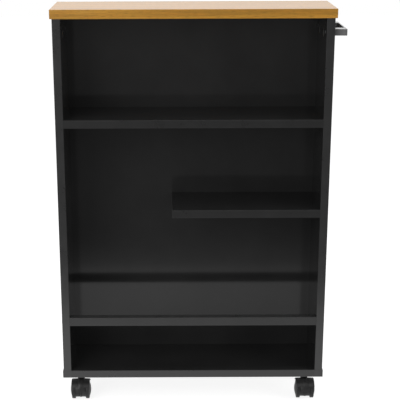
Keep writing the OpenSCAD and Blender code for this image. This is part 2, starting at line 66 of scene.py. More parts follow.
class TrolleyBoardSettings(bpy.types.PropertyGroup):
    """Colours and gloss of the faced boards"""

    laminate: FloatVectorProperty(
        name="Laminate", description="Middle colour of the wood-look laminate",
        default=(0.55, 0.268, 0.0275), size=3, min=0.0, max=1.0, subtype="COLOR")
    laminate_gloss: FloatProperty(
        name="Laminate roughness", description="Roughness of the laminate",
        default=0.3, min=0.05, max=1.0, subtype="FACTOR")
    board: FloatVectorProperty(
        name="Board", description="Colour of the black board facing",
        default=(0.0202, 0.0202, 0.0202), size=3, min=0.0, max=1.0, subtype="COLOR")
    band: FloatVectorProperty(
        name="Edge band", description="Colour of the black edge bands",
        default=(0.0155, 0.0155, 0.0156), size=3, min=0.0, max=1.0, subtype="COLOR")


class TrolleyFastenerSettings(bpy.types.PropertyGroup):
    """Sizes of the heads and caps of the fasteners"""

    chamfer: FloatProperty(
        name="Head chamfer", description="Chamfer round the screw heads",
        default=0.0003, min=0.0001, max=0.001, subtype="DISTANCE", unit="LENGTH")
    socket_depth: FloatProperty(
        name="Socket depth", description="Depth of the sockets in the screw heads",
        default=0.0014, min=0.0004, max=0.002, subtype="DISTANCE", unit="LENGTH")
    cap_dish: FloatProperty(
        name="Cap dish", description="Depth of the shallow dish in each screw cap",
        default=0.00015, min=0.00005, max=0.0004, subtype="DISTANCE", unit="LENGTH")


class TrolleyCasterSettings(bpy.types.PropertyGroup):
    """Finish and moulded forms of the casters, and the handle's paint"""

    plastic: FloatVectorProperty(
        name="Caster plastic", description="Colour of the moulded caster parts",
        default=(0.015, 0.015, 0.0152), size=3, min=0.0, max=1.0, subtype="COLOR")
    arris: FloatProperty(
        name="Moulded edge", description="Radius on the edges of the moulded parts",
        default=0.0003, min=0.0001, max=0.001, subtype="DISTANCE", unit="LENGTH")
    crown_swell: FloatProperty(
        name="Crown swell", description="How far the hood's shell is swelled at its crown",
        default=0.001, min=0.0, max=0.001, subtype="DISTANCE", unit="LENGTH")
    shoulder_draw: FloatProperty(
        name="Tread shoulder", description="How far the tread's outer shoulder is drawn in",
        default=0.0008, min=0.0, max=0.002, subtype="DISTANCE", unit="LENGTH")
    hub_rise: FloatProperty(
        name="Hub rise", description="How many times as high the hub's dome stands",
        default=1.6, min=1.0, max=2.0, subtype="FACTOR")
    handle: FloatVectorProperty(
        name="Handle paint", description="Colour of the handle's paint",
        default=(0.145, 0.145, 0.146), size=3, min=0.0, max=1.0, subtype="COLOR")


class TrolleyStageSettings(bpy.types.PropertyGroup):
    """Floor, lamps and camera"""

    lamp_power: FloatProperty(
        name="Lamp power", description="Power that the lamps take their shares of",
        default=42.0, min=0.0, max=500.0, unit="POWER")
    sky: FloatProperty(
        name="Sky level", description="Level of the room's light on the object",
        default=0.46, min=0.0, max=2.0)
    lens: FloatProperty(
        name="Lens", description="Focal length of the camera",
        default=95.95, min=20.0, max=200.0, subtype="DISTANCE_CAMERA", unit="CAMERA")


# Materials


class Nodes:
    """A node tree that is built step by step"""

    def __init__(self, tree):
        self.tree = tree
        tree.nodes.clear()

    def node(self, kind, **values):
        made = self.tree.nodes.new(kind)
        for key, value in values.items():
            setattr(made, key, value)
        return made

    def link(self, source, target):
        self.tree.links.new(source, target)

    def feed(self, socket, value):
        """Sets a socket to a number or a colour, or links it to another node's output"""
        if isinstance(value, (int, float)):
            socket.default_value = value
        elif isinstance(value, tuple):
            socket.default_value = (*value, 1.0)
        else:
            self.link(value, socket)

    def maths(self, operation, first, second):
        made = self.node("ShaderNodeMath", operation=operation)
        for socket, value in zip(made.inputs, (first, second)):
            self.feed(socket, value)
        return made.outputs["Value"]

    def parts(self, vector):
        """The X, Y and Z of a vector"""
        made = self.node("ShaderNodeSeparateXYZ")
        self.link(vector, made.inputs["Vector"])
        return made.outputs

    def ramp(self, factor, stops):
        made = self.node("ShaderNodeValToRGB")
        elements = made.color_ramp.elements
        while len(elements) < len(stops):
            elements.new(0.5)
        for element, (position, colour) in zip(elements, stops):
            element.position = position
            element.color = (*colour, 1.0)
        self.link(factor, made.inputs["Fac"])
        return made.outputs["Color"]

    def span(self, factor, low, high, start=0.0, end=1.0):
        """Takes a factor from start to end over to low to high"""
        made = self.node("ShaderNodeMapRange")
        for name, value in (("From Min", start), ("From Max", end), ("To Min", low), ("To Max", high)):
            made.inputs[name].default_value = value
        self.link(factor, made.inputs["Value"])
        return made.outputs["Result"]

    def mix(self, factor, first, second, blend="MIX"):
        made = self.node("ShaderNodeMix", data_type="RGBA", blend_type=blend)
        for socket, value in ((made.inputs[0], factor), (made.inputs[6], first), (made.inputs[7], second)):
            self.feed(socket, value)
        return made.outputs[2]

    def mix_level(self, factor, first, second):
        made = self.node("ShaderNodeMix", data_type="FLOAT")
        for socket, value in ((made.inputs[0], factor), (made.inputs[2], first), (made.inputs[3], second)):
            self.feed(socket, value)
        return made.outputs[0]


class Finish(Nodes):
    """A node material with a Principled shader at its end"""

    def __init__(self, name, colour, roughness, metallic=0.0, specular=0.5):
        self.material = bpy.data.materials.new(name)
        self.material.use_nodes = True
        self.material.diffuse_color = (*colour, 1.0)
        super().__init__(self.material.node_tree)
        self.shader = self.node("ShaderNodeBsdfPrincipled")
        self.shader.inputs["Base Color"].default_value = (*colour, 1.0)
        self.shader.inputs["Roughness"].default_value = roughness
        self.shader.inputs["Metallic"].default_value = metallic
        self.shader.inputs["Specular IOR Level"].default_value = specular
        output = self.node("ShaderNodeOutputMaterial")
        self.link(self.shader.outputs["BSDF"], output.inputs["Surface"])
        self.place = self.node("ShaderNodeTexCoord").outputs["Object"]

    def stretched(self, scale, source=None):
        mapping = self.node("ShaderNodeMapping")
        mapping.inputs["Scale"].default_value = scale
        self.link(source or self.place, mapping.inputs["Vector"])
        return mapping.outputs["Vector"]

    def noise(self, vector, scale=1.0, detail=3.0, roughness=0.5, distortion=0.0):
        made = self.node("ShaderNodeTexNoise")
        for name, value in (("Scale", scale), ("Detail", detail),
                            ("Roughness", roughness), ("Distortion", distortion)):
            made.inputs[name].default_value = value
        self.link(vector, made.inputs["Vector"])
        return made.outputs["Fac"]

    def facing(self, kind="True Normal"):
        """The X, Y and Z of the surface's normal"""
        return self.parts(self.node("ShaderNodeNewGeometry").outputs[kind])

    def colour(self, source):
        self.link(source, self.shader.inputs["Base Color"])

    def rough(self, source):
        self.link(source, self.shader.inputs["Roughness"])

    def bump(self, height, distance):
        made = self.node("ShaderNodeBump")
        made.inputs["Strength"].default_value = 1.0
        made.inputs["Distance"].default_value = distance
        self.link(height, made.inputs["Height"])
        self.link(made.outputs["Normal"], self.shader.inputs["Normal"])


def shade(colour, factor):
    return tuple(min(1.0, c * factor) for c in colour)


def laminate_finish(settings):
    """Wood-look laminate: long grain from end to end, and from front to back on the ends' bands"""
    made = Finish("Oak laminate", settings.laminate, settings.laminate_gloss)
    on_end = made.maths("GREATER_THAN", made.maths("ABSOLUTE", made.facing()["X"], 0.0), SQUARE_ON)
    run, cross = 2.6, 150.0
    along = made.stretched((run, cross, cross))
    across = made.stretched((cross, run, cross))
    chosen = made.node("ShaderNodeMix", data_type="VECTOR")
    made.link(on_end, chosen.inputs["Factor"])
    made.link(along, chosen.inputs[4])
    made.link(across, chosen.inputs[5])
    grain_place = chosen.outputs[1]
    broad = made.noise(grain_place, detail=4.0, roughness=0.6, distortion=0.6)
    fine = made.noise(grain_place, scale=7.0, roughness=0.6)
    pores = made.noise(made.stretched((26.0, 15.0, 15.0), grain_place), detail=2.0)
    lines = made.noise(made.stretched((3.0, 11.0, 11.0), grain_place), roughness=0.7)
    flame = made.noise(made.stretched((9.0, 1.3, 1.3), grain_place), roughness=0.55, distortion=0.4)
    base = settings.laminate
    palest = (0.62, 0.34, 0.07)
    warmer = (base[0] * 1.08, base[1] * 0.95, base[2] * 0.85)
    wood = made.ramp(broad, [
        (0.28, shade(base, 0.58)), (0.44, shade(base, 0.88)), (0.58, shade(base, 1.16)), (0.74, palest)])
    wood = made.mix(made.span(flame, 0.0, 0.75, 0.42, 0.72), wood, warmer)
    wood = made.mix(made.span(fine, 0.0, 0.5, 0.38, 0.8), wood, shade(base, 0.62))
    wood = made.mix(made.span(lines, 0.0, 0.45, 0.5, 0.72), wood, shade(base, 0.5))
    wood = made.mix(made.span(pores, 0.0, 0.75, 0.57, 0.66), wood, shade(base, 0.3))
    made.colour(wood)
    made.rough(made.span(fine, settings.laminate_gloss - 0.06, settings.laminate_gloss + 0.12))
    made.bump(made.maths("ADD", fine, made.maths("MULTIPLY", pores, -0.6)), distance=0.08 * MM)
    made.shader.inputs["Coat Weight"].default_value = 0.46
    made.shader.inputs["Coat Roughness"].default_value = 0.15
    return made.material


def board_finish(name, colour, gloss, specular=0.5):
    """Black melamine: a deep even face with a faint press texture and wiping marks"""
    made = Finish(name, colour, gloss, specular=specular)
    cloud = made.noise(made.place, scale=9.0, detail=4.0, roughness=0.6)
    press = made.noise(made.place, scale=2600.0, detail=2.0)
    wiped = made.noise(made.stretched((5.0, 60.0, 60.0)), roughness=0.6)
    made.colour(made.ramp(cloud, [(0.3, shade(colour, 0.86)), (0.7, shade(colour, 1.16))]))
    smear = made.span(wiped, gloss * 0.7, gloss * 1.35)
    made.rough(made.maths("ADD", smear, made.span(press, -0.015, 0.015)))
    made.bump(press, distance=0.004 * MM)
    return made.material


def band_finish(colour):
    """Black edge band: duller than the board, rubbed in patches, painted lighter on the side panels, and
    lighter where it faces up
    """
    made = Finish("Black edge band", colour, 0.28, specular=1.0)
    rubbed = made.noise(made.place, scale=30.0, detail=5.0, roughness=0.65)
    fine = made.noise(made.place, scale=1400.0, detail=2.0)
    worn = made.ramp(rubbed, [
        (0.25, shade(colour, 0.8)), (0.55, shade(colour, 1.0)), (0.85, shade(colour, 1.3))])
    # Painted light: the side panels' bands are painted a little lighter than those of the shelves
    low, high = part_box("back_panel")
    middle, half, clear = (low.x + high.x) / 2, (high.x - low.x) / 2, 0.2 * MM
    off_middle = made.maths(
        "ABSOLUTE", made.maths("SUBTRACT", made.parts(made.place)["X"], middle), 0.0)
    on_side = made.maths("GREATER_THAN", off_middle, half + clear)
    side_painted_light, upward_lift = (1.5, 1.5, 1.5), (2.5, 2.5, 2.5)
    tone = made.mix(on_side, worn, made.mix(1.0, worn, side_painted_light, "MULTIPLY"))
    # Faces that look up are two and a half times lighter
    on_top = made.maths("GREATER_THAN", made.facing()["Z"], SQUARE_ON)
    made.colour(made.mix(on_top, tone, made.mix(1.0, worn, upward_lift, "MULTIPLY")))
    made.rough(made.span(rubbed, 0.22, 0.36))
    made.bump(fine, distance=0.01 * MM)
    return made.material


def plastic_finish(name, colour, gloss):
    """Moulded plastic: spark-eroded skin, slight sheen, mottled tone, and a painted highlight where it faces
    up
    """
    made = Finish(name, colour, gloss)
    skin = made.noise(made.place, scale=2200.0, detail=2.0, roughness=0.6)
    mottle = made.noise(made.place, scale=70.0, detail=4.0, roughness=0.6)
    plain = made.ramp(mottle, [(0.3, shade(colour, 0.82)), (0.6, colour), (0.85, shade(colour, 1.45))])
    # Painted highlight: faces that look up are painted up to 2.8 times lighter, in mottled patches
    upward = made.span(made.facing("Normal")["Z"], 0.0, 0.6, 0.2, 0.95)
    painted_upward_highlight = made.maths("MULTIPLY", upward, made.span(mottle, 0.5, 1.0, 0.3, 0.7))
    made.colour(made.mix(painted_upward_highlight, plain, shade(colour, 2.8)))
    made.rough(made.maths("ADD", made.span(mottle, gloss - 0.06, gloss + 0.1), made.span(skin, -0.03, 0.03)))
    made.bump(skin, distance=0.02 * MM)
    return made.material


def paint_finish(colour):
    """Satin paint with a fine orange peel and lighter rubbed spots"""
    made = Finish("Handle satin paint", colour, 0.3)
    peel = made.noise(made.place, scale=900.0, detail=2.0)
    worn = made.noise(made.place, scale=120.0, detail=4.0, roughness=0.65)
    made.colour(made.ramp(worn, [(0.3, shade(colour, 0.88)), (0.6, colour), (0.8, shade(colour, 1.18))]))
    made.rough(made.span(worn, 0.24, 0.4))
    made.bump(peel, distance=0.02 * MM)
    made.shader.inputs["Coat Weight"].default_value = 1.0
    made.shader.inputs["Coat Roughness"].default_value = 0.12
    return made.material


def zinc_finish():
    """Bright zinc plating with a faint spangle and a drawn grain"""
    colour = (0.56, 0.57, 0.575)
    made = Finish("Zinc plate", colour, 0.3, metallic=1.0)
    cells = made.node("ShaderNodeTexVoronoi")
    cells.inputs["Scale"].default_value = 420.0
    made.link(made.place, cells.inputs["Vector"])
    drawn = made.noise(made.stretched((90.0, 2400.0, 900.0)), roughness=0.6)
    spangle = made.maths("MULTIPLY", cells.outputs["Distance"], 0.5)
    tone = made.maths("ADD", spangle, made.maths("MULTIPLY", drawn, 0.6))
    made.colour(made.ramp(tone, [(0.2, shade(colour, 0.8)), (0.5, colour), (0.85, shade(colour, 1.2))]))
    made.rough(made.span(tone, 0.22, 0.42))
    made.bump(drawn, distance=0.02 * MM)
    return made.material


def beech_finish():
    """Turned beech with short flecks along the dowel"""
    colour = (0.55, 0.36, 0.19)
    made = Finish("Turned beech", colour, 0.6)
    fleck = made.noise(made.stretched((900.0, 900.0, 120.0)), roughness=0.6)
    made.colour(made.ramp(fleck, [(0.35, shade(colour, 0.75)), (0.65, shade(colour, 1.15))]))
    made.bump(fleck, distance=0.05 * MM)
    return made.material


FINISHES = {}


def finish(name):
    """The finish of the record's named slot, or of the rail, made on its first use"""
    if name in FINISHES:
        return FINISHES[name]
    scene = bpy.context.scene
    boards, casters = scene.trolley_boards, scene.trolley_casters
    makers = {
        "oak_laminate": lambda: laminate_finish(boards),
        "black_board": lambda: board_finish("Black melamine", tuple(boards.board), 0.1),
        "rail": lambda: board_finish("Front rail melamine", shade(tuple(boards.board), 1.1), 0.12, 0.62),
        "black_band": lambda: band_finish(tuple(boards.band)),
        "black_cap": lambda: plastic_finish("Cap plastic", (0.02, 0.02, 0.0205), 0.4),
        "black_plastic": lambda: plastic_finish("Caster nylon", tuple(casters.plastic), 0.42),
        "handle_paint": lambda: paint_finish(tuple(casters.handle)),
        "zinc": zinc_finish,
        "beech": beech_finish,
    }
    FINISHES[name] = makers[name]()
    return FINISHES[name]


# Mesh tools


def dress(node, name):
    """Gives a CAD node its finish"""
    mesh = NODES[node].data
    mesh.materials.clear()
    mesh.materials.append(finish(name))


def piece_from(mesh, name, body, slot, *replaced):
    """Adds a finished mesh as a piece that rides on a body and stands for CAD nodes"""
    made = bpy.data.objects.new(name, mesh)
    bpy.context.scene.collection.objects.link(made)
    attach(made, body)
    if replaced:
        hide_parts(*replaced)


def merged(node):
    """A copy of a CAD node's mesh as one closed surface"""
    shape = bmesh.new()
    shape.from_mesh(NODES[node].data)
    bmesh.ops.remove_doubles(shape, verts=shape.verts, dist=2e-6)
    bmesh.ops.dissolve_degenerate(shape, edges=shape.edges, dist=1e-6)
    return shape


def islands(node):
    """The lowest and highest corner of each separate solid in a node"""
    shape = merged(node)
    found, seen = [], set()
    for start in shape.verts:
        if start in seen:
            continue
        group, queue = [], [start]
        seen.add(start)
        while queue:
            vert = queue.pop()
            group.append(vert.co.copy())
            for edge in vert.link_edges:
                other = edge.other_vert(vert)
                if other not in seen:
                    seen.add(other)
                    queue.append(other)
        low = Vector([min(co[i] for co in group) for i in range(3)])
        high = Vector([max(co[i] for co in group) for i in range(3)])
        found.append((low, high))
    shape.free()
    return found


def eased(node, name, body, slot, width, reshape=None, joined=None):
    """A moulded or cut part whose edges are rounded a little, in place of its CAD node

    reshape moves each point before the edges are rounded, and joined adds to the rounded mesh.
    """
    shape = merged(node)
    if reshape:
        for vert in shape.verts:
            vert.co = reshape(vert.co)
    sharp, flat = math.radians(32.0), math.radians(0.4)
    bmesh.ops.dissolve_limit(shape, angle_limit=flat, verts=shape.verts, edges=shape.edges)
    for face in shape.faces:
        face.smooth = True
    mesh = bpy.data.meshes.new(name)
    shape.to_mesh(mesh)
    shape.free()
    holder = bpy.data.objects.new(name + "_blank", mesh)
    bpy.context.scene.collection.objects.link(holder)
    bevel = holder.modifiers.new("Eased edges", "BEVEL")
    bevel.limit_method = "ANGLE"
    bevel.angle_limit = sharp
    bevel.width = width
    bevel.segments = 2
    bevel.use_clamp_overlap = True
    bevel.harden_normals = True
    made = plain_mesh(holder, name)
    if joined:
        whole = bmesh.new()
        whole.from_mesh(made)
        joined(whole)
        whole.to_mesh(made)
        whole.free()
    made.materials.clear()
    made.materials.append(finish(slot))
    piece_from(made, name, body, slot, node)


def plain_mesh(holder, name):
    """The evaluated mesh of a holder, which is then removed with its modifiers"""
    depsgraph = bpy.context.evaluated_depsgraph_get()
    mesh = bpy.data.meshes.new_from_object(
        holder.evaluated_get(depsgraph), preserve_all_data_layers=True, depsgraph=depsgraph)
    mesh.name = name
    old = holder.data
    bpy.data.objects.remove(holder)
    if old.users == 0:
        bpy.data.meshes.remove(old)
    if not len(mesh.polygons):
        raise RuntimeError(f"{name} came out empty")
    return mesh


# Fasteners


def group_input(tree, name, kind, default=None, low=None):
    socket = tree.interface.new_socket(name=name, in_out="INPUT", socket_type=kind)
    if default is not None:
        socket.default_value = default
        socket.min_value = low


def fastener_tree():
    """Turned fasteners with chamfered heads and sockets, one on each point, turned along its axis"""
    name = "Fasteners on points"
    if name in bpy.data.node_groups:
        return bpy.data.node_groups[name]
    tree = bpy.data.node_groups.new(name, "GeometryNodeTree")
    tree.is_modifier = True
    group_input(tree, "Geometry", "NodeSocketGeometry")
    for label, default in (
            ("Head Radius", 0.005), ("Head Height", 0.002), ("Chamfer", 0.0003),
            ("Neck Radius", 0.0035), ("Neck Length", 0.016), ("Core Radius", 0.0025), ("Core Length", 0.048),
            ("Socket Radius", 0.002), ("Socket Depth", 0.001)):
        group_input(tree, label, "NodeSocketFloat", default, 0.0)
    group_input(tree, "Socket Sides", "NodeSocketInt", 6, 3)
    group_input(tree, "Finish", "NodeSocketMaterial")
    tree.interface.new_socket(name="Geometry", in_out="OUTPUT", socket_type="NodeSocketGeometry")

    made = Nodes(tree)
    node, link, maths = made.node, made.link, made.maths

    def upright(value):
        vector = node("ShaderNodeCombineXYZ")
        link(value, vector.inputs["Z"])
        return vector.outputs[0]

    given = node("NodeGroupInput").outputs
    head_sides, shaft_sides = 32, 24
    # Head: a disc, with its top face raised by the chamfer and drawn in
    disc = node("GeometryNodeMeshCylinder", fill_type="NGON")
    disc.inputs["Vertices"].default_value = head_sides
    link(given["Head Radius"], disc.inputs["Radius"])
    link(maths("SUBTRACT", given["Head Height"], given["Chamfer"]), disc.inputs["Depth"])
    raised = node("GeometryNodeExtrudeMesh", mode="FACES")
    raised.inputs["Individual"].default_value = False
    link(disc.outputs["Mesh"], raised.inputs["Mesh"])
    link(disc.outputs["Top"], raised.inputs["Selection"])
    link(given["Chamfer"], raised.inputs["Offset Scale"])
    drawn = node("GeometryNodeScaleElements", domain="FACE")
    link(raised.outputs["Mesh"], drawn.inputs["Geometry"])
    link(raised.outputs["Top"], drawn.inputs["Selection"])
    top_radius = maths("SUBTRACT", given["Head Radius"], given["Chamfer"])
    link(maths("DIVIDE", top_radius, given["Head Radius"]), drawn.inputs["Scale"])
    # The head's outer face lies in the plane of the points, and the rest behind it
    head = node("GeometryNodeTransform")
    link(drawn.outputs[0], head.inputs["Geometry"])
    middle = maths("MULTIPLY", maths("ADD", given["Head Height"], given["Chamfer"]), -0.5)
    link(upright(middle), head.inputs["Translation"])
    # Neck and core start halfway through the head, and their lengths count from its outer face
    half_head = maths("MULTIPLY", given["Head Height"], 0.5)
    shafts = []
    for radius, length in (("Neck Radius", "Neck Length"), ("Core Radius", "Core Length")):
        shaft = node("GeometryNodeMeshCylinder", fill_type="NGON")
        shaft.inputs["Vertices"].default_value = shaft_sides
        link(given[radius], shaft.inputs["Radius"])
        link(maths("SUBTRACT", given[length], half_head), shaft.inputs["Depth"])
        moved = node("GeometryNodeTransform")
        link(shaft.outputs["Mesh"], moved.inputs["Geometry"])
        centre = maths("MULTIPLY", maths("ADD", given[length], half_head), -0.5)
        link(upright(centre), moved.inputs["Translation"])
        shafts.append(moved.outputs[0])
    # A known fault: the union drops the core past the neck's end and leaves that end open
    whole = node("GeometryNodeMeshBoolean", operation="UNION")
    for part in (head.outputs[0], *shafts):
        link(part, whole.inputs["Mesh 2"])
    socket = node("GeometryNodeMeshCylinder", fill_type="NGON")
    link(given["Socket Sides"], socket.inputs["Vertices"])
    link(given["Socket Radius"], socket.inputs["Radius"])
    link(maths("MULTIPLY", given["Socket Depth"], 2.0), socket.inputs["Depth"])
    cut = node("GeometryNodeMeshBoolean", operation="DIFFERENCE")
    link(whole.outputs["Mesh"], cut.inputs["Mesh 1"])
    link(socket.outputs["Mesh"], cut.inputs["Mesh 2"])
    facing = node("GeometryNodeInputNamedAttribute", data_type="FLOAT_VECTOR")
    facing.inputs["Name"].default_value = "facing"
    turned = node("FunctionNodeAlignRotationToVector", axis="Z")
    link(facing.outputs["Attribute"], turned.inputs["Vector"])
    placed = node("GeometryNodeInstanceOnPoints")
    link(given["Geometry"], placed.inputs["Points"])
    link(cut.outputs["Mesh"], placed.inputs["Instance"])
    link(turned.outputs["Rotation"], placed.inputs["Rotation"])
    real = node("GeometryNodeRealizeInstances")
    link(placed.outputs["Instances"], real.inputs["Geometry"])
    painted = node("GeometryNodeSetMaterial")
    link(real.outputs["Geometry"], painted.inputs["Geometry"])
    link(given["Finish"], painted.inputs["Material"])
    output = node("NodeGroupOutput")
    link(painted.outputs["Geometry"], output.inputs["Geometry"])
    return tree


def fasteners(name, node, slot, sizes, facing_of):
    """Replaces a node of like fasteners on the cabinet by turned ones with sockets"""
    spots = [facing_of(low, high) for low, high in islands(node)]
    mesh = bpy.data.meshes.new(name + "_points")
    mesh.from_pydata([spot for spot, axis in spots], [], [])
    attribute = mesh.attributes.new("facing", "FLOAT_VECTOR", "POINT")
    for item, (spot, axis) in zip(attribute.data, spots):
        item.vector = axis
    holder = bpy.data.objects.new(name + "_points", mesh)
    bpy.context.scene.collection.objects.link(holder)
    tree = fastener_tree()
    modifier = holder.modifiers.new("Fasteners", "NODES")
    modifier.node_group = tree
    for item in tree.interface.items_tree:
        if item.in_out == "INPUT" and item.name in sizes:
            modifier[item.identifier] = sizes[item.name]
        elif item.in_out == "INPUT" and item.name == "Finish":
            modifier[item.identifier] = finish(slot)
    made = plain_mesh(holder, name)
    for polygon in made.polygons:
        polygon.use_smooth = False
    piece_from(made, name, "cabinet", slot, node)


def sizes_of(head, neck, core, socket, sides=6):
    """The tree's inputs, from the head's radius, height and chamfer, and the radius and length of the rest"""
    names = ("Head Radius", "Head Height", "Chamfer", "Neck Radius", "Neck Length",
             "Core Radius", "Core Length", "Socket Radius", "Socket Depth")
    return {**dict(zip(names, (*head, *neck, *core, *socket))), "Socket Sides": sides}


def outward(axis, sign_from):
    """Finds the middle of a solid's face on the side, along an axis, that its head looks to"""
    def spot(low, high):
        middle = (low + high) / 2
        sign = sign_from(middle)
        middle[axis] = high[axis] if sign > 0 else low[axis]
        facing = Vector((0.0, 0.0, 0.0))
        facing[axis] = sign
        return middle, facing
    return spot


# Operators


class TROLLEY_OT_boards(bpy.types.Operator):
    """Finish the worktop, panels, shelves, front rail and their edge bands"""

    bl_idname = "trolley.boards"
    bl_label = "Boards"

    def execute(self, context):
        for node in ("top_board", "worktop_edge_bands"):
            dress(node, "oak_laminate")
        for node in ("left_side_panel", "right_side_panel", "back_panel", "bottom_board",
                     "upper_shelf", "half_shelf"):
            dress(node, "black_board")
        dress("front_rail", "rail")
        dress("cabinet_edge_bands", "black_band")
        self.base_ends(proud=1.7 * MM)
        return {"FINISHED"}

    def base_ends(self, proud):
        """The bottom board's thick end bands, which stand a little proud of the side panels"""
        rounding = 0.5 * MM
        low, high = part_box("cabinet_edge_bands")
        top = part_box("bottom_board")[1].z
        shape = bmesh.new()
        for face_x, side in ((low.x, -1), (high.x, 1)):
            ends = sorted((face_x, face_x + side * proud))
            corners = [(x, y, z) for x in ends for y in (low.y, high.y) for z in (low.z, top)]
            verts = [shape.verts.new(corner) for corner in corners]
            for ring in ((0, 1, 3, 2), (4, 6, 7, 5), (0, 4, 5, 1), (2, 3, 7, 6), (0, 2, 6, 4), (1, 5, 7, 3)):
                shape.faces.new([verts[i] for i in ring])
        bmesh.ops.bevel(
            shape, geom=shape.edges[:], offset=rounding, segments=3, affect="EDGES", profile=0.5)
        bmesh.ops.recalc_face_normals(shape, faces=shape.faces)
        mesh = bpy.data.meshes.new("base_end_bands")
        shape.to_mesh(mesh)
        shape.free()
        mesh.materials.append(finish("black_band"))
        piece_from(mesh, "base_end_bands", "cabinet", "black_band")


class TROLLEY_OT_fittings(bpy.types.Operator):
    """Make the screws, caps, cam fittings and dowels"""

    bl_idname = "trolley.fittings"
    bl_label = "Screws and fittings"

    def execute(self, context):
        settings = context.scene.trolley_fasteners
        middle_x = sum(corner[0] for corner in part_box("back_panel")) / 2
        for node in ("side_screws", "cam_bolts", "cam_locks"):
            dress(node, "zinc")
        dress("worktop_dowels", "beech")
        away_x = outward(0, lambda middle: 1 if middle.x > middle_x else -1)
        away_back = outward(1, lambda middle: 1)
        down = outward(2, lambda middle: -1)
        inward = outward(0, lambda middle: -1)
        chamfer, depth, dish = settings.chamfer, settings.socket_depth, settings.cap_dish
        neck, core, board_socket = 3.5 * MM, (2.5 * MM, 48 * MM), (2.3 * MM, depth)
        board_head = (4.75 * MM, 2.5 * MM, chamfer)
        fasteners("base_panel_screws", "base_screws", "zinc",
                  sizes_of(board_head, (neck, 16 * MM), core, board_socket), down)
        fasteners("back_panel_screws", "back_screws", "zinc",
                  sizes_of(board_head, (neck, 12 * MM), core, board_socket), away_back)
        fasteners("flat_caps", "screw_caps", "black_cap",
                  sizes_of((5.75 * MM, 0.5 * MM, 0.2 * MM), (2 * MM, 0.48 * MM), (1 * MM, 0.46 * MM),
                           (4.6 * MM, dish), sides=32), away_x)
        fasteners("handle_screws_outside", "handle_bar_screws", "zinc",
                  sizes_of((3 * MM, 1.8 * MM, chamfer), (1.5 * MM, 9 * MM), (1.4 * MM, 10 * MM),
                           (1.5 * MM, 1.0 * MM)), away_x)
        fasteners("handle_screws_inside", "handle_post_screws", "zinc",
                  sizes_of((4 * MM, 1.8 * MM, chamfer), (2 * MM, 27 * MM), (1.8 * MM, 28 * MM),
                           (1.8 * MM, 1.0 * MM)), inward)
        fasteners("caster_plate_screws", "caster_screws", "zinc",
                  sizes_of((3.75 * MM, 2 * MM, chamfer), (2 * MM, 15 * MM), (1.9 * MM, 16 * MM),
                           (1.7 * MM, 1.1 * MM)), down)
        return {"FINISHED"}


class TROLLEY_OT_handle(bpy.types.Operator):
    """Make the handle's two posts and its bar"""

    bl_idname = "trolley.handle"
    bl_label = "Handle"

    def execute(self, context):
        for node in ("handle_post_front", "handle_post_rear", "handle_bar"):
            eased(node, node + "_painted", "cabinet", "handle_paint", width=0.4 * MM)
        return {"FINISHED"}


